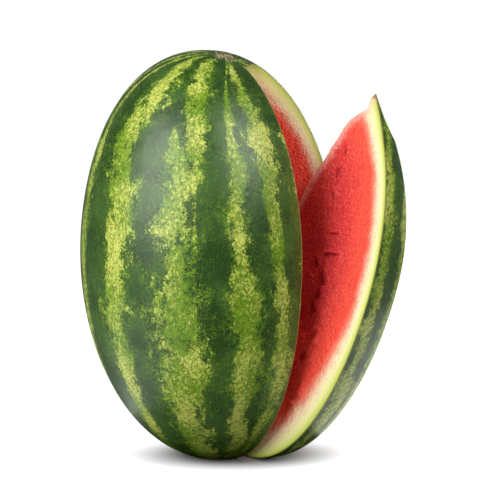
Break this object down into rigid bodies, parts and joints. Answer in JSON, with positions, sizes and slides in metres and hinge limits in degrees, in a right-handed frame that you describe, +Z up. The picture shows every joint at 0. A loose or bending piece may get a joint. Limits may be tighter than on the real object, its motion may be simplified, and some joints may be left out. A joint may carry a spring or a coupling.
{
  "type": "watermelon",
  "caption": "Upright striped oval watermelon with a wedge cut out of its side and a slim slice leaning out of the notch.",
  "frame": {"origin": "point on the flat spot the melon stands on, 11 mm behind the melon's axis, on the floor", "axes": "+Z up along the melon's axis, -Y towards the viewer, +X towards the side the slice leans out of"},
  "size_m": [0.2732, 0.2222, 0.35],
  "materials": {
    "skin": "waxy dark green skin with jagged yellow-green stripes",
    "flesh": "moist grainy red flesh with a cream rind"
  },
  "bodies": {
    "root": {"melon": "skin", "slice": "flesh"}
  },
  "joints": []
}
